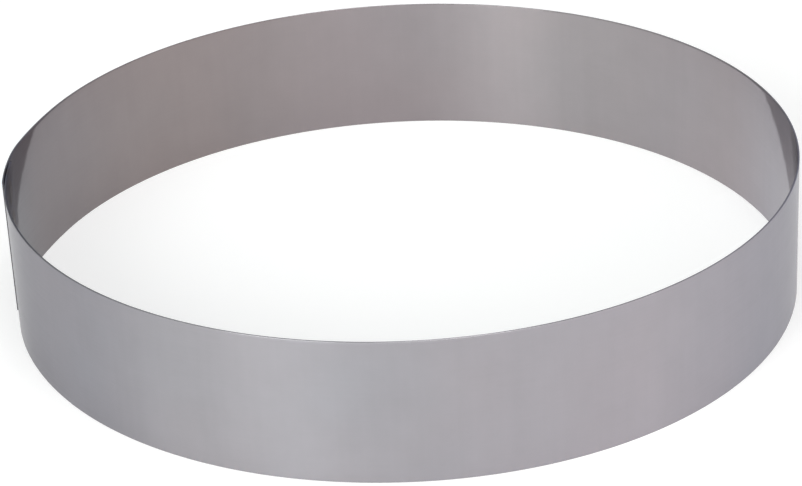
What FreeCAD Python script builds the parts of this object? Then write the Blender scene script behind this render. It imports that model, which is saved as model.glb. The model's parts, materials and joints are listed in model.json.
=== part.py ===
import FreeCAD, Part
import Sketcher
import math
import os

# Pastry ring: one strip of thin stainless steel, rolled to a hoop that is open at top and bottom.
# Its two ends lie over each other in a lap seam, and a column of spot welds joins them.
# Frame: +Z up, origin on the hoop's axis at the bottom rim, lap centred on -X. Lengths are millimetres.
# The strip starts under the lap, runs counter-clockwise as seen from above, and ends on top of it.

# Driving dimensions: alias, value, meaning
DIMENSIONS = (
    ("inside_diameter", 240.0, "clear width inside the hoop, away from the lap"),
    ("band_height", 44.0, "width of the strip, rim to rim"),
    ("sheet_thickness", 0.6, "thickness of the strip"),
    ("edge_break", 0.15, "bevel left on the cut edges by deburring"),
    ("lap_length", 15.0, "how far the strip's ends lie over each other"),
    ("lap_gap", 0.25, "air left between the two plies"),
    ("inner_ply_rise", 0.4, "how far the inner ply stands outside the hoop's circle"),
    ("ply_run_on", 4.0, "length past each end of the lap where the plies stay parallel"),
    ("front_easing", 60.0, "length in which the inner ply comes back to the hoop's circle"),
    ("back_easing", 36.0, "length in which the outer ply rises off the hoop's circle"),
    ("weld_count", 4, "spot welds in the column"),
    ("weld_diameter", 3.6, "width of a weld nugget"),
    ("weld_margin", 7.0, "height of the lowest weld, and the highest one's distance from the top rim"),
    ("print_diameter", 5.0, "width of the dimple that an electrode leaves"),
    ("print_depth", 0.08, "depth of that dimple"),
)

doc = FreeCAD.newDocument("pastry_ring")
sheet = doc.addObject("Spreadsheet::Sheet", "sizes")
for row, (alias, value, meaning) in enumerate(DIMENSIONS, start=1):
    sheet.set(f"A{row}", alias)
    sheet.set(f"B{row}", str(value))
    sheet.set(f"C{row}", meaning)
    sheet.setAlias(f"B{row}", alias)
doc.recompute()


def size(alias):
    """A driving dimension as the sheet holds it."""
    return float(sheet.get(alias))


def origin_feature(body, role):
    """A plane or axis of the body's own origin."""
    return next(item for item in body.Origin.OriginFeatures if item.Role == role)


def new_sketch(body, name, plane):
    """An empty sketch on one of the body's origin planes."""
    sketch = body.newObject("Sketcher::SketchObject", name)
    sketch.AttachmentSupport = (origin_feature(body, plane), "")
    sketch.MapMode = "FlatFace"
    return sketch


def polar(radius, angle):
    """Point on the plan at a radius and an angle about the hoop's axis."""
    return FreeCAD.Vector(radius * math.cos(angle), radius * math.sin(angle), 0)


# Plan of the strip

hoop_radius = (size("inside_diameter") + size("sheet_thickness")) / 2
inner_ply_radius = hoop_radius + size("inner_ply_rise")
outer_ply_radius = inner_ply_radius + size("sheet_thickness") + size("lap_gap")
half_sheet = size("sheet_thickness") / 2

LAP_ANGLE = math.pi
FULL_TURN = 2 * math.pi
half_lap = size("lap_length") / 2 / hoop_radius
run_on = size("ply_run_on") / hoop_radius

strip_start = LAP_ANGLE - half_lap
front_high = LAP_ANGLE + half_lap + run_on
front_low = front_high + size("front_easing") / hoop_radius
back_high = LAP_ANGLE + FULL_TURN - half_lap - run_on
back_low = back_high - size("back_easing") / hoop_radius
strip_end = LAP_ANGLE + FULL_TURN + half_lap


def easing(low_angle, high_angle, high_radius):
    """Two tangent arcs from the hoop's circle at one angle to a wider one at the other.

    Each arc is its centre, its middle line's radius and the angles that it runs between.
    They meet half-way, and both centres lie the same distance from the hoop's axis.
    """
    step = high_radius - hoop_radius
    bow = 1 - math.cos(high_angle - low_angle)
    centre_shift = step * (2 + math.sqrt(4 - 2 * bow)) / (2 * bow)
    middle = (low_angle + high_angle) / 2
    low_arc = (polar(-centre_shift, low_angle), hoop_radius + centre_shift, low_angle, middle)
    high_arc = (polar(centre_shift, high_angle), high_radius - centre_shift, middle, high_angle)
    return low_arc, high_arc


def backwards(arcs):
    """The same arcs in the order met when the angles are read from high to low."""
    return [(centre, radius, end, start) for centre, radius, start, end in reversed(arcs)]


axis_point = FreeCAD.Vector(0, 0, 0)
strip_arcs = [(axis_point, inner_ply_radius, strip_start, front_high)]
strip_arcs += backwards(easing(front_low, front_high, inner_ply_radius))
strip_arcs += [(axis_point, hoop_radius, front_low, back_low)]
strip_arcs += easing(back_low, back_high, outer_ply_radius)
strip_arcs += [(axis_point, outer_ply_radius, back_high, strip_end)]


def side_of_strip(offset):
    """The strip's arcs moved outwards by an offset, and the points where that side starts and ends."""
    side = []
    for centre, radius, start, end in strip_arcs:
        circle = Part.Circle(centre, FreeCAD.Vector(0, 0, 1), radius + offset)
        side.append(Part.ArcOfCircle(circle, start, end))
    return side, side[0].StartPoint, side[-1].EndPoint


# The band: the plan padded to the strip's width, its cut edges deburred

band = doc.addObject("PartDesign::Body", "band")
band.Label = "band"

plan = new_sketch(band, "strip_plan", "XY_Plane")
outside, outside_start, outside_end = side_of_strip(half_sheet)
inside, inside_start, inside_end = side_of_strip(-half_sheet)
plan.addGeometry(outside + inside, False)
plan.addGeometry([Part.LineSegment(outside_start, inside_start), Part.LineSegment(outside_end, inside_end)], False)

strip = band.newObject("PartDesign::Pad", "rolled_strip")
strip.Profile = plan
strip.setExpression("Length", "sizes.band_height")
doc.recompute()

strip_ends = (outside_start, inside_start, outside_end, inside_end)
CLOSE = 1e-4


def is_cut_edge(edge):
    """True for the rims and for the corners of the strip's ends, false where two arcs run on smoothly."""
    if edge.BoundBox.ZLength < CLOSE:
        return True
    foot = edge.CenterOfMass
    foot.z = 0
    return any(foot.distanceToPoint(corner) < CLOSE for corner in strip_ends)


cut_edges = [f"Edge{number}" for number, edge in enumerate(strip.Shape.Edges, start=1) if is_cut_edge(edge)]
deburr = band.newObject("PartDesign::Chamfer", "deburred_edges")
deburr.Base = (strip, cut_edges)
deburr.setExpression("Size", "sizes.edge_break")
doc.recompute()

# The lowest spot weld: a nugget from the middle of one ply to the middle of the other.
# In the constraints, point 3 is the circle's centre, -2 is the sketch's upright axis and (-1, 1) its origin.

nugget_plan = new_sketch(band, "nugget_plan", "YZ_Plane")
nugget_plan.setExpression(
    "AttachmentOffset.Base.z",
    "-(sizes.inside_diameter + sizes.sheet_thickness) / 2 - sizes.inner_ply_rise",
)
nugget_circle = nugget_plan.addGeometry(
    Part.Circle(FreeCAD.Vector(0, size("weld_margin"), 0), FreeCAD.Vector(0, 0, 1), size("weld_diameter") / 2)
)
nugget_plan.addConstraint(Sketcher.Constraint("PointOnObject", nugget_circle, 3, -2))
nugget_height = nugget_plan.addConstraint(
    Sketcher.Constraint("DistanceY", -1, 1, nugget_circle, 3, size("weld_margin"))
)
nugget_width = nugget_plan.addConstraint(Sketcher.Constraint("Diameter", nugget_circle, size("weld_diameter")))
nugget_plan.setExpression(f"Constraints[{nugget_height}]", "sizes.weld_margin")
nugget_plan.setExpression(f"Constraints[{nugget_width}]", "sizes.weld_diameter")

nugget = band.newObject("PartDesign::Pad", "weld_nugget")
nugget.Profile = nugget_plan
nugget.Reversed = True
nugget.setExpression("Length", "sizes.sheet_thickness + sizes.lap_gap")
doc.recompute()

# The dimples that the two domed electrodes press into the plies' outer faces

print_dome_radius = (size("print_diameter") ** 2 / 4 + size("print_depth") ** 2) / (2 * size("print_depth"))
DOME_REACH = 0.75


def electrode_print(name, face_x, inward):
    """A dimple pressed into a face at x, where inward is the way into the sheet, +1 or -1 along X.

    The tool is a domed tip, turned about the weld's level axis and wider than the print that it leaves.
    """
    base = band.Tip.Shape.Volume
    weld_height = size("weld_margin")
    tip_x = face_x + inward * size("print_depth")
    tip_width = size("print_diameter") * DOME_REACH
    dome_angle = math.asin(tip_width / print_dome_radius)
    dome_centre = FreeCAD.Vector(tip_x - inward * print_dome_radius, weld_height, 0)

    def on_dome(angle):
        return dome_centre + FreeCAD.Vector(
            inward * print_dome_radius * math.cos(angle), print_dome_radius * math.sin(angle), 0
        )

    tip, shoulder = on_dome(0), on_dome(dome_angle)
    back = FreeCAD.Vector(shoulder.x - inward * size("sheet_thickness"), weld_height, 0)
    back_shoulder = FreeCAD.Vector(back.x, shoulder.y, 0)
    profile = new_sketch(band, f"{name}_profile", "XZ_Plane")
    profile.addGeometry(
        [
            Part.Arc(tip, on_dome(dome_angle / 2), shoulder),
            Part.LineSegment(shoulder, back_shoulder),
            Part.LineSegment(back_shoulder, back),
            Part.LineSegment(back, tip),
        ],
        False,
    )
    profile.addGeometry(Part.LineSegment(back, tip), True)
    groove = band.newObject("PartDesign::Groove", name)
    groove.Profile = profile
    groove.ReferenceAxis = (profile, ["Axis0"])
    groove.Angle = 360
    doc.recompute()
    if groove.Shape.Volume >= base:
        raise RuntimeError(f"{name} cuts nothing")
    return groove


inner_print = electrode_print("inner_print", half_sheet - inner_ply_radius, -1)
outer_print = electrode_print("outer_print", -half_sheet - outer_ply_radius, 1)

# The column of welds

weld_column = band.newObject("PartDesign::LinearPattern", "weld_column")
weld_column.Originals = [nugget, inner_print, outer_print]
weld_column.Direction = (origin_feature(band, "Z_Axis"), [""])
weld_column.setExpression("Length", "sizes.band_height - 2 * sizes.weld_margin")
weld_column.setExpression("Occurrences", "sizes.weld_count")
band.Tip = weld_column
doc.recompute()

# Check and write

for item in doc.Objects:
    if {"Invalid", "Error"} & set(item.State):
        raise RuntimeError(f"{item.Name}: {item.State}")
if band.Shape.isNull() or not band.Shape.isValid():
    raise RuntimeError("band has no valid shape")
if len(band.Shape.Solids) != 1:
    raise RuntimeError(f"band is {len(band.Shape.Solids)} solids, not one")

os.makedirs("parts", exist_ok=True)
band.Shape.exportStep(f"parts/{band.Label}.step")
box = band.Shape.BoundBox
print(f"band: {band.Shape.Volume:.1f} mm3, X {box.XMin:.3f} to {box.XMax:.3f}, "
      f"Y {box.YMin:.3f} to {box.YMax:.3f}, Z {box.ZMin:.3f} to {box.ZMax:.3f}")
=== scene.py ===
import json
import math

import bmesh
import bpy
from mathutils import Matrix, Vector


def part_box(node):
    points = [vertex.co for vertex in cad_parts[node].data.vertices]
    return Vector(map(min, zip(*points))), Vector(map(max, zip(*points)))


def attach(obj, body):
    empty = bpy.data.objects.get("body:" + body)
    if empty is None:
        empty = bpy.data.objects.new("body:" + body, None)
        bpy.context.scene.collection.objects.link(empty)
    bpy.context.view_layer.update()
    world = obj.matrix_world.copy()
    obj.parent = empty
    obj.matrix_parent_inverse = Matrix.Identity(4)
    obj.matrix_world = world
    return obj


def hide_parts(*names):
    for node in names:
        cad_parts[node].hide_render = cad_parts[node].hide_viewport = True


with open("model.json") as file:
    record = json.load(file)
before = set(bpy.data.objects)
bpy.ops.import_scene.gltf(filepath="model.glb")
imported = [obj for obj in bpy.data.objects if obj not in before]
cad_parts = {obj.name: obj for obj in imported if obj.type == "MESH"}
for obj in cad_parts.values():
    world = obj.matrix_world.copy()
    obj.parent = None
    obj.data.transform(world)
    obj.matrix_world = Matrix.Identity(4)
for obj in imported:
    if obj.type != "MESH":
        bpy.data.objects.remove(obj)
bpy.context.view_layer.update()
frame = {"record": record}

bl_info = {
    "name": "Pastry ring",
    "version": (1, 0, 0),
    "blender": (4, 5, 0),
    "location": "3D View > Sidebar > Pastry ring",
    "description": "A lapped and spot-welded stainless pastry ring on a plain studio stage",
    "category": "Object",
}

# Sizes are metres. The band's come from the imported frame: its box and the mount on its inside wall.

MM = 0.001
BAND_LOW, BAND_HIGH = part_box("band")
BAND_HEIGHT = BAND_HIGH.z - BAND_LOW.z
OUTSIDE_RADIUS = BAND_HIGH.x
INSIDE_RADIUS = next(m for m in frame["record"]["mounts"] if m["name"] == "inside")["dims"]["r_mm"] * MM
FULL_TURN = 2 * math.pi
# The lap stands at -X, the left of the photo
LAP_ANGLE = math.pi

# How finely the band is divided. The lap is finest, because its dimples are pressed into the mesh.

LAP_STEP = 0.5 * MM
EASING_STEP = 2 * MM
HOOP_STEP = 2.5 * MM
ROW_HEIGHT = 0.75 * MM
RIM_SEGMENTS = 3
END_SEGMENTS = 2
NUGGET_SEGMENTS = 24
HARD_EDGE = math.radians(40)

# Attributes that the band's mesh carries for its material

ALONG = "strip_along"
SIDE = "strip_side"
LEAN = "strip_lean"
# What leans more than this is a rounded edge or an end, and not the wall
STEEPEST_LEAN = math.radians(10)

# Sizes of the steel's patterns. Real rolled grain is some hundredths of a millimetre wide, too fine to
# show, so it is drawn 0.4 mm wide. The bars are the faint marks that the rolls leave across the strip, and
# smudges and clouds are what wiping leaves.

GRAIN_LENGTH = 40 * MM
GRAIN_WIDTH = 0.4 * MM
GRAIN_DEPTH = 0.01 * MM
GRAIN_STRENGTH = 0.1
BAR_WIDTH = 3.85 * MM
BAR_LENGTH = 167 * MM
BAR_DEPTH = 0.012 * MM
BAR_SHARE = 0.3
SMUDGE_SIZE = 14.3 * MM
CLOUD_SIZE = 55.6 * MM
# How far from each end of the strip the steel is darker
DARK_END_REACH = 0.4 * MM
HALO_REACH = 7 * MM

# Noise lies almost wholly between these two levels
NOISE_SPAN = {"From Min": 0.3, "From Max": 0.7}
# Lightest and darkest that the smudges and bars make the steel
SHADE_SPAN = {"To Min": 0.965, "To Max": 1.035}
# The steel drifts between a slightly warmer and a slightly cooler tone
WARM_DRIFT = (1.03, 0.985, 0.985)
COOL_DRIFT = (0.98, 1.0, 1.02)


def linear(hex_colour):
    """An sRGB hex colour as a linear RGB tuple."""
    channels = [int(hex_colour[i:i + 2], 16) / 255 for i in (1, 3, 5)]
    return tuple(c / 12.92 if c <= 0.04045 else ((c + 0.055) / 1.055) ** 2.4 for c in channels)


# The steel's two glosses: a clear mirror, and a haze that the grain draws out up and down, a quarter turn
# from the way round the ring. Each has its least and greatest roughness, between which the grain varies
# it, and the values that are the same all over.
GLOSSES = (
    ("mirror", (0.05, 0.07), {
        "Specular Tint": (*linear("#F9F9FA"), 1),
    }),
    ("haze", (0.36, 0.42), {
        "Specular Tint": (*linear("#CBCBCB"), 1),
        "Anisotropic": 0.95,
        "Anisotropic Rotation": 0.25,
    }),
)
HAZE_SHARE = 0.55

# Painted shade, which darkens the steel by these colours. Stops are degrees round the ring, from +X to +Y.
# Inside it is faintly warm and strongest at the back left, and stands in for darker reflections there.
INSIDE_PAINTED_SHADE = (
    (-180, "#B9BCBE"),
    (-90, "#EBEBEB"),
    (8, "#FEFDFF"),
    (30, "#F3EDEB"),
    (60, "#EBE7E4"),
    (92, "#DDD6D4"),
    (130, "#D4CBC5"),
    (162, "#CAC5C2"),
    (180, "#B9BCBE"),
)
# Painted shade outside, grey and strongest near the lap and at the right, for darker reflections there.
OUTSIDE_PAINTED_SHADE = (
    (-180, "#DADADC"),
    (-162, "#C4C4C8"),
    (-144, "#DADADC"),
    (-122, "#EBEBEB"),
    (-60, "#EBE9EA"),
    (-30, "#DDDDE0"),
    (0, "#DBDBDD"),
    (90, "#EBEBEB"),
    (180, "#DADADC"),
)
# The steel is darker right at the strip's two ends
DARK_END_COLOUR = "#AAAAAD"
# Welding heat leaves straw and then blue round each spot. Stops are shares of the halo's reach.
WELD_HALO = (
    (0.0, "#EFECE7"),
    (0.32, "#EAE5DD"),
    (0.45, "#E7DFD4"),
    (0.62, "#EFF0F6"),
    (1.0, "#FFFFFF"),
)

# Light of the cloth walls round the table, as linear levels in which 1 is white, by the direction seen
# from the ring in degrees from +X to +Y. They are brightest in front and dark behind the ring.
WALL_LIGHT = (
    (-180, (0.5, 0.5, 0.5)),
    (-150, (1.65, 1.65, 1.6)),
    (-110, (2.1, 2.1, 2.05)),
    (-60, (2.3, 2.15, 2.15)),
    (-30, (2.1, 1.8, 1.85)),
    (0, (1.2, 1.05, 1.15)),
    (60, (0.33, 0.31, 0.5)),
    (100, (0.04, 0.04, 0.08)),
    (150, (0.0, 0.0, 0.0)),
    (180, (0.5, 0.5, 0.5)),
)
CEILING_LIGHT = (0.52, 0.55, 0.54)
# The walls fade into the ceiling between these heights on the unit sphere of directions
CEILING_FADE = {"From Min": 0.2, "From Max": 0.6}

# The studio's softboxes: name, place, width and height in metres, and power in watts. All face the ring.
SOFTBOXES = (
    ("key", (-0.6, -0.85, 0.6), 0.56, 0.45, 2.6),
    ("fill", (-0.45, -0.93, 0.6), 1.0, 0.45, 0.6),
    ("top", (0.15, -0.2, 1.2), 0.45, 0.45, 3.1),
)
FLOOR_REACH = 10
# Light that lifts the floor to white for the camera and for what mirrors it
FLOOR_LIFT = 0.48

# The photo's camera, as fitted to the ring's rims. The aim and the distance are in outside radii.
CAMERA_ELEVATION = math.radians(26.74)
CAMERA_ROLL = math.radians(-2.905)
CAMERA_DISTANCE = 7.0
CAMERA_AIM = (-0.0128, -0.1514)
FOCAL_PIXELS = 2781.3
PHOTO_WIDTH_PIXELS = 802
SENSOR_WIDTH_MM = 36


class BandSettings(bpy.types.PropertyGroup):
    """Sizes and colour of the steel band."""

    sheet_thickness: bpy.props.FloatProperty(
        name="Sheet thickness", description="Thickness of the strip",
        default=OUTSIDE_RADIUS - INSIDE_RADIUS, min=0.1 * MM, unit="LENGTH", precision=5)
    edge_radius: bpy.props.FloatProperty(
        name="Edge radius", description="Rounding of the strip's cut edges",
        default=0.15 * MM, min=0.01 * MM, unit="LENGTH", precision=5)
    lap_length: bpy.props.FloatProperty(
        name="Lap length", description="How far the strip's ends lie over each other",
        default=15 * MM, min=0, unit="LENGTH", precision=4)
    lap_gap: bpy.props.FloatProperty(
        name="Lap gap", description="Air between the two plies of the lap",
        default=0.25 * MM, min=0, unit="LENGTH", precision=5)
    inner_ply_rise: bpy.props.FloatProperty(
        name="Inner ply rise", description="How far the inner ply stands outside the hoop's circle",
        default=0.4 * MM, min=0, unit="LENGTH", precision=5)
    ply_run_on: bpy.props.FloatProperty(
        name="Ply run-on", description="Length past each end of the lap where the plies stay parallel",
        default=4 * MM, min=0, unit="LENGTH", precision=4)
    front_easing: bpy.props.FloatProperty(
        name="Front easing", description="Length in which the inner ply comes back to the hoop's circle",
        default=60 * MM, min=5 * MM, unit="LENGTH", precision=4)
    back_easing: bpy.props.FloatProperty(
        name="Back easing", description="Length in which the outer ply rises off the hoop's circle",
        default=36 * MM, min=5 * MM, unit="LENGTH", precision=4)
    weld_count: bpy.props.IntProperty(
        name="Spot welds", description="Spot welds in the lap's column", default=4, min=1, max=12)
    weld_diameter: bpy.props.FloatProperty(
        name="Weld diameter", description="Width of a weld nugget",
        default=3.6 * MM, min=0.5 * MM, unit="LENGTH", precision=4)
    weld_margin: bpy.props.FloatProperty(
        name="Weld margin", description="Distance of the outermost welds from the rims",
        default=7 * MM, min=1 * MM, unit="LENGTH", precision=4)
    print_diameter: bpy.props.FloatProperty(
        name="Print diameter", description="Width of the dimple that a welding electrode leaves",
        default=5 * MM, min=1 * MM, unit="LENGTH", precision=4)
    print_depth: bpy.props.FloatProperty(
        name="Print depth", description="Depth of that dimple",
        default=0.08 * MM, min=0, unit="LENGTH", precision=5)
    steel_colour: bpy.props.FloatVectorProperty(
        name="Steel colour", description="Colour of the mill-rolled stainless steel where it is cleanest",
        default=linear("#BFBEC2"), min=0, max=1, size=3, subtype="COLOR")


class StageSettings(bpy.types.PropertyGroup):
    """Colour of the stage."""

    floor_colour: bpy.props.FloatVectorProperty(
        name="Floor colour", description="Colour of the plain floor",
        default=linear("#CCCCCC"), min=0, max=1, size=3, subtype="COLOR")


# Material helpers

def add_node(tree, kind, settings=None, inputs=None, links=None):
    """A shader node with its settings, plain input values and the sockets that feed its inputs."""
    node = tree.nodes.new(kind)
    for key, value in (settings or {}).items():
        setattr(node, key, value)
    for key, value in (inputs or {}).items():
        node.inputs[key].default_value = value
    for key, socket in (links or {}).items():
        tree.links.new(socket, node.inputs[key])
    return node


def set_stops(ramp, stops):
    """Gives a colour ramp its stops, each a position and a linear colour."""
    while len(ramp.elements) > 1:
        ramp.elements.remove(ramp.elements[-1])
    for number, (position, colour) in enumerate(stops):
        element = ramp.elements[0] if number == 0 else ramp.elements.new(position)
        element.position = position
        element.color = (*colour, 1)


def colours_round_axis(tree, split, stops):
    """Colours that pass softly into each other round the Z axis, with stops in degrees from +X to +Y."""
    azimuth = add_node(tree, "ShaderNodeMath", {"operation": "ARCTAN2"},
                       links={0: split.outputs["Y"], 1: split.outputs["X"]})
    turn = add_node(tree, "ShaderNodeMapRange", inputs={"From Min": -math.pi, "From Max": math.pi},
                    links={"Value": azimuth.outputs["Value"]})
    ramp = add_node(tree, "ShaderNodeValToRGB", links={"Fac": turn.outputs["Result"]})
    ramp.color_ramp.interpolation = "EASE"
    set_stops(ramp.color_ramp, [((degrees + 180) / 360, colour) for degrees, colour in stops])
    return ramp.outputs["Color"]


def empty_material(name):
    """A node material with nothing in it but its output."""
    material = bpy.data.materials.new(name)
    material.use_nodes = True
    material.node_tree.nodes.clear()
    return material, add_node(material.node_tree, "ShaderNodeOutputMaterial")


# The steel

def grain_and_bars(tree, strip):
    """The fine grain that rolling leaves along the strip, and the faint bars across it."""
    grain_place = add_node(tree, "ShaderNodeMapping", links={"Vector": strip},
                           inputs={"Scale": (1 / GRAIN_LENGTH, 1, 1 / GRAIN_WIDTH)})
    grain = add_node(tree, "ShaderNodeTexNoise", inputs={"Scale": 1, "Detail": 3, "Roughness": 0.6},
                     links={"Vector": grain_place.outputs["Vector"]})
    bars_place = add_node(tree, "ShaderNodeMapping", links={"Vector": strip},
                          inputs={"Scale": (1 / BAR_WIDTH, 1, 1 / BAR_LENGTH)})
    bars = add_node(tree, "ShaderNodeTexNoise", inputs={"Scale": 1, "Detail": 2, "Roughness": 0.6},
                    links={"Vector": bars_place.outputs["Vector"]})
    return grain.outputs["Fac"], bars.outputs["Fac"]


def cloudy_steel(tree, settings, strip, bars):
    """The bare steel's colour, which drifts between warm and cool under faint smudges and bars."""
    colour = tuple(settings.steel_colour)
    cloud = add_node(tree, "ShaderNodeTexNoise", inputs={"Scale": 1 / CLOUD_SIZE, "Detail": 2},
                     links={"Vector": strip})
    drift = add_node(tree, "ShaderNodeMix", {"data_type": "RGBA"}, links={"Factor": cloud.outputs["Fac"]})
    drift.inputs["A"].default_value = (*[c * k for c, k in zip(colour, WARM_DRIFT)], 1)
    drift.inputs["B"].default_value = (*[c * k for c, k in zip(colour, COOL_DRIFT)], 1)
    smudge = add_node(tree, "ShaderNodeTexNoise", links={"Vector": strip},
                      inputs={"Scale": 1 / SMUDGE_SIZE, "Detail": 4, "Roughness": 0.6})
    marks = add_node(tree, "ShaderNodeMix", inputs={"Factor": BAR_SHARE},
                     links={"A": smudge.outputs["Fac"], "B": bars})
    shade = add_node(tree, "ShaderNodeMapRange", inputs={**NOISE_SPAN, **SHADE_SPAN},
                     links={"Value": marks.outputs["Result"]})
    steel = add_node(tree, "ShaderNodeVectorMath", {"operation": "SCALE"},
                     links={0: drift.outputs["Result"], "Scale": shade.outputs["Result"]})
    return steel.outputs["Vector"]


def under_painted_shade(tree, steel, split):
    """The steel under painted shade by direction round the ring, one ramp inside and one outside."""
    side = add_node(tree, "ShaderNodeAttribute", {"attribute_name": SIDE})
    inside = add_node(tree, "ShaderNodeMapRange", inputs={"From Min": 1, "From Max": -1},
                      links={"Value": side.outputs["Fac"]})
    outer, inner = [
        colours_round_axis(tree, split, [(degrees, linear(colour)) for degrees, colour in painted_shade])
        for painted_shade in (OUTSIDE_PAINTED_SHADE, INSIDE_PAINTED_SHADE)]
    painted_shade = add_node(tree, "ShaderNodeMix", {"data_type": "RGBA"},
                    links={"Factor": inside.outputs["Result"], "A": outer, "B": inner})
    shaded_steel = add_node(tree, "ShaderNodeVectorMath", {"operation": "MULTIPLY"},
                      links={0: steel, 1: painted_shade.outputs["Result"]})
    return shaded_steel.outputs["Vector"]


def with_dark_ends(tree, steel, along, strip_length):
    """The steel, darker right at the strip's two ends."""
    to_end = add_node(tree, "ShaderNodeMath", {"operation": "PINGPONG"}, inputs={1: strip_length / 2},
                      links={0: along})
    near_end = add_node(tree, "ShaderNodeMapRange", links={"Value": to_end.outputs["Value"]},
                       inputs={"From Max": DARK_END_REACH, "To Min": 1, "To Max": 0})
    cut = add_node(tree, "ShaderNodeMix", {"data_type": "RGBA", "blend_type": "MULTIPLY"},
                   links={"Factor": near_end.outputs["Result"], "A": steel})
    cut.inputs["B"].default_value = (*linear(DARK_END_COLOUR), 1)
    return cut.outputs["Result"]


def with_weld_halos(tree, steel, split, settings):
    """The steel with the straw and blue halo of the welding heat round each spot of the lap."""
    from_lowest = add_node(tree, "ShaderNodeMath", {"operation": "SUBTRACT"},
                           inputs={1: weld_heights(settings)[0]}, links={0: split.outputs["Z"]})
    off_height = add_node(tree, "ShaderNodeMath", {"operation": "PINGPONG"},
                          inputs={1: weld_spacing(settings) / 2}, links={0: from_lowest.outputs["Value"]})
    off_spot = add_node(tree, "ShaderNodeCombineXYZ",
                        links={"X": off_height.outputs["Value"], "Y": split.outputs["Y"]})
    distance = add_node(tree, "ShaderNodeVectorMath", {"operation": "LENGTH"},
                        links={0: off_spot.outputs["Vector"]})
    reach = add_node(tree, "ShaderNodeMapRange", inputs={"From Max": HALO_REACH},
                     links={"Value": distance.outputs["Value"]})
    halo = add_node(tree, "ShaderNodeValToRGB", links={"Fac": reach.outputs["Result"]})
    set_stops(halo.color_ramp, [(share, linear(colour)) for share, colour in WELD_HALO])
    on_lap_side = add_node(tree, "ShaderNodeMath", {"operation": "LESS_THAN"}, inputs={1: 0},
                           links={0: split.outputs["X"]})
    heated = add_node(tree, "ShaderNodeMix", {"data_type": "RGBA", "blend_type": "MULTIPLY"}, links={
        "Factor": on_lap_side.outputs["Value"], "A": steel, "B": halo.outputs["Color"]})
    return heated.outputs["Result"]


def rolled_normal(tree, grain, bars):
    """The wall's normal, turned back to the hoop's circle and then bumped by the bars and the grain."""
    lean = add_node(tree, "ShaderNodeAttribute", {"attribute_name": LEAN})
    turn_back = add_node(tree, "ShaderNodeMath", {"operation": "MULTIPLY"}, inputs={1: -1},
                         links={0: lean.outputs["Fac"]})
    geometry = add_node(tree, "ShaderNodeNewGeometry")
    upright = add_node(tree, "ShaderNodeVectorRotate", {"rotation_type": "Z_AXIS"}, links={
        "Vector": geometry.outputs["Normal"], "Angle": turn_back.outputs["Value"]})
    waves = add_node(tree, "ShaderNodeBump", inputs={"Strength": 1, "Distance": BAR_DEPTH},
                     links={"Height": bars, "Normal": upright.outputs["Vector"]})
    fine = add_node(tree, "ShaderNodeBump", inputs={"Strength": GRAIN_STRENGTH, "Distance": GRAIN_DEPTH},
                    links={"Height": grain, "Normal": waves.outputs["Normal"]})
    return fine.outputs["Normal"]


def satin_stainless(settings, strip_length):
    """Mill-rolled stainless strip with a satin finish.

    Rolling leaves a very fine grain along the strip. It mirrors what lies close by in a soft but clear
    way, such as the far wall's foot, under a haze that spreads lights up and down but not sideways.
    """
    material, output = empty_material("satin_stainless_steel")
    tree = material.node_tree
    along = add_node(tree, "ShaderNodeAttribute", {"attribute_name": ALONG}).outputs["Fac"]
    place = add_node(tree, "ShaderNodeTexCoord")
    split = add_node(tree, "ShaderNodeSeparateXYZ", links={"Vector": place.outputs["Object"]})
    strip = add_node(tree, "ShaderNodeCombineXYZ", links={"X": along, "Z": split.outputs["Z"]})
    grain, bars = grain_and_bars(tree, strip.outputs["Vector"])
    steel = cloudy_steel(tree, settings, strip.outputs["Vector"], bars)
    # Painted shade round the ring, inside and outside
    steel = under_painted_shade(tree, steel, split)
    steel = with_dark_ends(tree, steel, along, strip_length)
    steel = with_weld_halos(tree, steel, split, settings)
    tangent = add_node(tree, "ShaderNodeTangent", {"direction_type": "RADIAL", "axis": "Z"})
    shared = {"Base Color": steel, "Normal": rolled_normal(tree, grain, bars),
              "Tangent": tangent.outputs["Tangent"]}
    glosses = []
    for label, (least, greatest), fixed in GLOSSES:
        rough = add_node(tree, "ShaderNodeMapRange", links={"Value": grain},
                         inputs={**NOISE_SPAN, "To Min": least, "To Max": greatest})
        gloss = add_node(tree, "ShaderNodeBsdfPrincipled", {"label": label}, {"Metallic": 1, **fixed},
                         {**shared, "Roughness": rough.outputs["Result"]})
        glosses.append(gloss.outputs["BSDF"])
    mirror, haze = glosses
    surface = add_node(tree, "ShaderNodeMixShader", inputs={"Fac": HAZE_SHARE}, links={1: mirror, 2: haze})
    tree.links.new(surface.outputs["Shader"], output.inputs["Surface"])
    return material


# The band

def polar(radius, angle):
    """Point on the plan at a radius and an angle about the ring's axis."""
    return Vector((radius * math.cos(angle), radius * math.sin(angle), 0))


def easing_shift(step, turn):
    """How far from the axis the centres of an easing's two equal arcs lie.

    The easing takes the strip out or in by the step while it goes round by the turn.
    """
    bow = 1 - math.cos(turn)
    return step * (2 + math.sqrt(4 - 2 * bow)) / (2 * bow)


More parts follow.
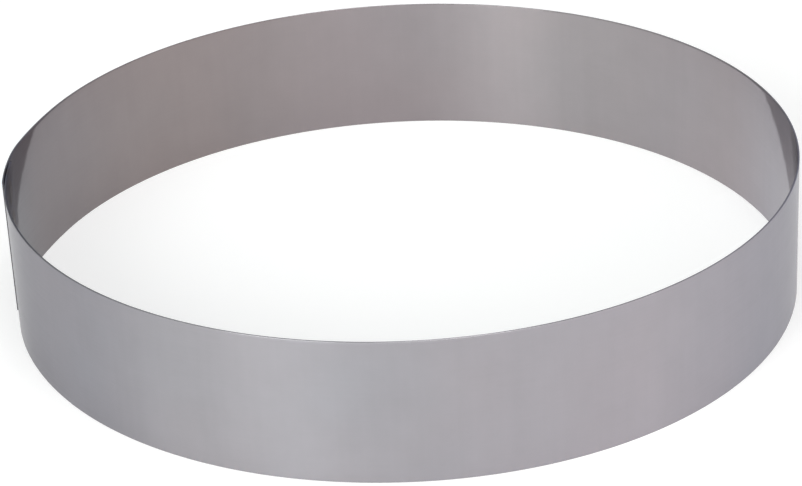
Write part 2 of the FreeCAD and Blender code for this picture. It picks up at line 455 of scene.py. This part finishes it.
def strip_route(settings):
    """The strip's middle line from its end under the lap, once round, to its end on top.

    Returns the start angle, the start radius and the arcs: centre, start angle, end angle and step.
    """
    hoop = INSIDE_RADIUS + settings.sheet_thickness / 2
    inner_ply = hoop + settings.inner_ply_rise
    outer_ply = inner_ply + settings.sheet_thickness + settings.lap_gap
    half_lap = settings.lap_length / 2 / hoop
    run_on = settings.ply_run_on / hoop
    start = LAP_ANGLE - half_lap
    front_high = LAP_ANGLE + half_lap + run_on
    front_low = front_high + settings.front_easing / hoop
    back_high = LAP_ANGLE + FULL_TURN - half_lap - run_on
    back_low = back_high - settings.back_easing / hoop
    end = LAP_ANGLE + FULL_TURN + half_lap
    axis = Vector((0, 0, 0))
    front_shift = easing_shift(inner_ply - hoop, front_low - front_high)
    back_shift = easing_shift(outer_ply - hoop, back_high - back_low)
    front_middle = (front_low + front_high) / 2
    back_middle = (back_low + back_high) / 2
    arcs = [
        (axis, start, front_high, LAP_STEP),
        (polar(front_shift, front_high), front_high, front_middle, EASING_STEP),
        (polar(-front_shift, front_low), front_middle, front_low, EASING_STEP),
        (axis, front_low, back_low, HOOP_STEP),
        (polar(-back_shift, back_low), back_low, back_middle, EASING_STEP),
        (polar(back_shift, back_high), back_middle, back_high, EASING_STEP),
        (axis, back_high, end, LAP_STEP),
    ]
    return start, inner_ply, arcs


def strip_section(mesh, settings, radius, angle):
    """The strip's cross-section as one face that stands across the route's start."""
    bmesh.ops.create_grid(mesh, x_segments=1, y_segments=1, size=0.5)
    bmesh.ops.scale(mesh, vec=(settings.sheet_thickness, BAND_HEIGHT, 1), verts=mesh.verts)
    bmesh.ops.bevel(mesh, geom=mesh.verts[:], offset=settings.edge_radius, offset_type="OFFSET",
                    segments=RIM_SEGMENTS, profile=0.5, affect="VERTICES", material=-1)
    walls = [edge for edge in mesh.edges if edge.calc_length() > BAND_HEIGHT / 2]
    bmesh.ops.subdivide_edges(mesh, edges=walls, cuts=int(BAND_HEIGHT / ROW_HEIGHT))
    bmesh.ops.dissolve_faces(mesh, faces=mesh.faces[:], use_verts=False)
    turn = Matrix.Rotation(angle, 4, "Z") @ Matrix.Rotation(math.pi / 2, 4, "X")
    bmesh.ops.transform(mesh, matrix=turn, verts=mesh.verts)
    centre = polar(radius, angle) + Vector((0, 0, BAND_LOW.z + BAND_HEIGHT / 2))
    bmesh.ops.translate(mesh, vec=centre, verts=mesh.verts)


def lead_round(mesh, radius, arcs):
    """Spins the section along every arc of the route and closes the far end.

    Returns the two end faces and the length along the strip at every station.
    """
    (first,) = mesh.faces
    last = list(first.verts) + list(first.edges)
    lengths = [0.0]
    for centre, start, end, step in arcs:
        arc_length = abs(end - start) * radius
        steps = max(2, round(arc_length / step))
        spun = bmesh.ops.spin(mesh, geom=last, cent=centre, axis=(0, 0, 1), angle=end - start, steps=steps)
        last = spun["geom_last"]
        lengths += [lengths[-1] + arc_length * k / steps for k in range(1, steps + 1)]
    far = bmesh.ops.contextual_create(mesh, geom=last)["faces"]
    return [first] + far, lengths


def mark_strip(mesh, lengths):
    """Writes the place along the strip, the side and the lean to every vertex.

    The side is +1 outside and -1 inside. The lean is the angle from the hoop's circle to the wall. The
    mirrored edges in the photo run as in a true circle right up to the lap, so the material takes the
    lean off the normal.
    """
    mesh.verts.ensure_lookup_table()
    per_station = len(mesh.verts) // len(lengths)
    if per_station * len(lengths) != len(mesh.verts):
        raise RuntimeError("the band's stations don't all have the same vertices")
    along = mesh.verts.layers.float.new(ALONG)
    side = mesh.verts.layers.float.new(SIDE)
    lean = mesh.verts.layers.float.new(LEAN)
    for index, vert in enumerate(mesh.verts):
        vert[along] = lengths[index // per_station]
        radial, normal = vert.co.xy.normalized(), vert.normal.xy
        facing = 1.0 if normal.dot(radial) > 0 else -1.0
        vert[side] = facing
        if normal.length > math.sin(STEEPEST_LEAN):
            cross = radial.x * normal.y - radial.y * normal.x
            angle = math.atan2(cross, radial.dot(normal) * facing) * facing
            vert[lean] = angle if abs(angle) < STEEPEST_LEAN else 0.0


def lap_faces(settings):
    """Radii of the inner ply's inside and of the outer ply's outside."""
    inner = INSIDE_RADIUS + settings.inner_ply_rise
    return inner, inner + 2 * settings.sheet_thickness + settings.lap_gap


def weld_spacing(settings):
    """Height from one spot weld to the next."""
    return (BAND_HEIGHT - 2 * settings.weld_margin) / max(1, settings.weld_count - 1)


def weld_heights(settings):
    """Heights of the spot welds, evenly spread between the two margins."""
    lowest = BAND_LOW.z + settings.weld_margin
    return [lowest + weld_spacing(settings) * number for number in range(settings.weld_count)]


def press_dimples(mesh, settings):
    """Presses the electrodes' domed dimples into the lap's two outer faces, inside and outside the ring."""
    inner, outer = lap_faces(settings)
    reach = settings.sheet_thickness / 4
    print_radius = settings.print_diameter / 2
    for vert in mesh.verts:
        if vert.co.x > 0 or abs(vert.co.y) > print_radius:
            continue
        radius = math.hypot(vert.co.x, vert.co.y)
        push = -1 if abs(radius - inner) < reach else 1 if abs(radius - outer) < reach else 0
        for height in weld_heights(settings):
            share = 1 - (vert.co.y ** 2 + (vert.co.z - height) ** 2) / print_radius ** 2
            if push and share > 0:
                vert.co.x += push * settings.print_depth * share


def add_nuggets(mesh, settings):
    """Sets the weld nuggets between the plies, let into both."""
    inner, outer = lap_faces(settings)
    for height in weld_heights(settings):
        place = Matrix.Translation((-(inner + outer) / 2, 0, height)) @ Matrix.Rotation(math.pi / 2, 4, "Y")
        bmesh.ops.create_cone(
            mesh, cap_ends=True, segments=NUGGET_SEGMENTS, radius1=settings.weld_diameter / 2,
            radius2=settings.weld_diameter / 2, depth=settings.lap_gap + settings.sheet_thickness,
            matrix=place)


def shade_smooth(mesh):
    """Smooth faces, with a hard edge wherever two faces meet at a marked angle."""
    for face in mesh.faces:
        face.smooth = True
    for edge in mesh.edges:
        edge.smooth = edge.calc_face_angle(0) < HARD_EDGE


def new_object(name, mesh, material):
    """Puts a finished bmesh into the scene as an object with its material, and frees it."""
    data = bpy.data.meshes.new(name)
    mesh.to_mesh(data)
    mesh.free()
    data.materials.append(material)
    thing = bpy.data.objects.new(name, data)
    bpy.context.scene.collection.objects.link(thing)
    return thing


class RING_OT_band(bpy.types.Operator):
    """Build the rolled, lapped and welded band"""

    bl_idname = "ring.band"
    bl_label = "Steel band"

    def execute(self, context):
        settings = context.scene.ring_band
        mesh = bmesh.new()
        start, radius, arcs = strip_route(settings)
        strip_section(mesh, settings, radius, start)
        ends, lengths = lead_round(mesh, radius, arcs)
        bmesh.ops.recalc_face_normals(mesh, faces=mesh.faces)
        mesh.normal_update()
        mark_strip(mesh, lengths)
        end_edges = [edge for end in ends for edge in end.edges]
        bmesh.ops.bevel(mesh, geom=end_edges, offset=settings.edge_radius, offset_type="OFFSET",
                        segments=END_SEGMENTS, profile=0.5, affect="EDGES", material=-1)
        press_dimples(mesh, settings)
        add_nuggets(mesh, settings)
        shade_smooth(mesh)
        band = new_object("steel_band", mesh, satin_stainless(settings, lengths[-1]))
        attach(band, "root")
        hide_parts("band")
        return {"FINISHED"}


# The stage

def plain_floor(settings):
    """Matt white paint: lit like any floor, and lifted to white for the camera and for what mirrors it."""
    material, output = empty_material("matt_white_floor")
    tree = material.node_tree
    paint = add_node(tree, "ShaderNodeBsdfDiffuse",
                     inputs={"Color": (*settings.floor_colour, 1), "Roughness": 1})
    seen = add_node(tree, "ShaderNodeLightPath")
    camera_or_glossy = add_node(tree, "ShaderNodeMath", {"operation": "MAXIMUM"}, links={
        0: seen.outputs["Is Camera Ray"], 1: seen.outputs["Is Glossy Ray"]})
    shown = add_node(tree, "ShaderNodeMath", {"operation": "MAXIMUM"}, links={
        0: camera_or_glossy.outputs["Value"], 1: seen.outputs["Is Transmission Ray"]})
    lift = add_node(tree, "ShaderNodeMath", {"operation": "MULTIPLY"}, inputs={1: FLOOR_LIFT},
                    links={0: shown.outputs["Value"]})
    glow = add_node(tree, "ShaderNodeEmission", links={"Strength": lift.outputs["Value"]})
    both = add_node(tree, "ShaderNodeAddShader",
                    links={0: paint.outputs["BSDF"], 1: glow.outputs["Emission"]})
    tree.links.new(both.outputs["Shader"], output.inputs["Surface"])
    return material


def studio_surroundings():
    """Pale cloth walls of uneven brightness that fade into an even ceiling."""
    world = bpy.data.worlds.new("soft_studio")
    world.use_nodes = True
    tree = world.node_tree
    place = add_node(tree, "ShaderNodeTexCoord")
    split = add_node(tree, "ShaderNodeSeparateXYZ", links={"Vector": place.outputs["Generated"]})
    walls = colours_round_axis(tree, split, WALL_LIGHT)
    height = add_node(tree, "ShaderNodeMapRange", {"interpolation_type": "SMOOTHSTEP"},
                      inputs=CEILING_FADE, links={"Value": split.outputs["Z"]})
    both = add_node(tree, "ShaderNodeMix", {"data_type": "RGBA"},
                    links={"Factor": height.outputs["Result"], "A": walls})
    both.inputs["B"].default_value = (*CEILING_LIGHT, 1)
    tree.links.new(both.outputs["Result"], tree.nodes["Background"].inputs["Color"])
    return world


def add_softbox(name, place, width, height, power):
    """A rectangular studio lamp that faces the ring."""
    light = bpy.data.lights.new(name, "AREA")
    light.shape = "RECTANGLE"
    light.size = width
    light.size_y = height
    light.energy = power
    lamp = bpy.data.objects.new(name, light)
    lamp.location = place
    lamp.rotation_euler = (-Vector(place)).to_track_quat("-Z", "Y").to_euler()
    bpy.context.scene.collection.objects.link(lamp)


def add_camera():
    """The photo's camera, in front of the ring and slightly rolled."""
    rise, run = math.sin(CAMERA_ELEVATION), math.cos(CAMERA_ELEVATION)
    aim = Vector((CAMERA_AIM[0] * OUTSIDE_RADIUS, CAMERA_AIM[1] * OUTSIDE_RADIUS, BAND_HIGH.z / 2))
    back = Vector((0, -run, rise))
    level_right, level_up = Vector((1, 0, 0)), Vector((0, rise, run))
    right = math.cos(CAMERA_ROLL) * level_right + math.sin(CAMERA_ROLL) * level_up
    up = -math.sin(CAMERA_ROLL) * level_right + math.cos(CAMERA_ROLL) * level_up
    camera = bpy.data.objects.new("camera", bpy.data.cameras.new("camera"))
    camera.data.sensor_width = SENSOR_WIDTH_MM
    camera.data.lens = FOCAL_PIXELS * SENSOR_WIDTH_MM / PHOTO_WIDTH_PIXELS
    camera.matrix_world = Matrix.Translation(aim + back * CAMERA_DISTANCE * OUTSIDE_RADIUS) @ Matrix(
        (right, up, back)).transposed().to_4x4()
    bpy.context.scene.collection.objects.link(camera)
    return camera


class RING_OT_stage(bpy.types.Operator):
    """Lay the floor and set the lamps, the surroundings and the camera"""

    bl_idname = "ring.stage"
    bl_label = "Stage"

    def execute(self, context):
        mesh = bmesh.new()
        bmesh.ops.create_grid(mesh, x_segments=1, y_segments=1, size=FLOOR_REACH)
        floor = new_object("floor", mesh, plain_floor(context.scene.ring_stage))
        context.scene.world = studio_surroundings()
        for softbox in SOFTBOXES:
            add_softbox(*softbox)
        context.scene.camera = add_camera()
        context.scene.view_settings.view_transform = "Standard"
        return {"FINISHED"}


class RING_PT_panel(bpy.types.Panel):
    """The ring's sizes and colours, and its building steps."""

    bl_label = "Pastry ring"
    bl_space_type = "VIEW_3D"
    bl_region_type = "UI"
    bl_category = "Pastry ring"

    def draw(self, context):
        for settings in (context.scene.ring_band, context.scene.ring_stage):
            for name in settings.bl_rna.properties.keys():
                if name not in ("rna_type", "name"):
                    self.layout.prop(settings, name)
        for step in STEPS:
            self.layout.operator(step.bl_idname)


STEPS = (RING_OT_band, RING_OT_stage)
CLASSES = (BandSettings, StageSettings, *STEPS, RING_PT_panel)


def register():
    """Registers the classes and gives every scene the ring's settings."""
    for cls in CLASSES:
        bpy.utils.register_class(cls)
    bpy.types.Scene.ring_band = bpy.props.PointerProperty(type=BandSettings)
    bpy.types.Scene.ring_stage = bpy.props.PointerProperty(type=StageSettings)


def unregister():
    """Takes the settings and the classes away again."""
    del bpy.types.Scene.ring_stage
    del bpy.types.Scene.ring_band
    for cls in reversed(CLASSES):
        bpy.utils.unregister_class(cls)


def main():
    register()
    bpy.ops.ring.band()
    bpy.ops.ring.stage()


if __name__ == "__main__":
    main()
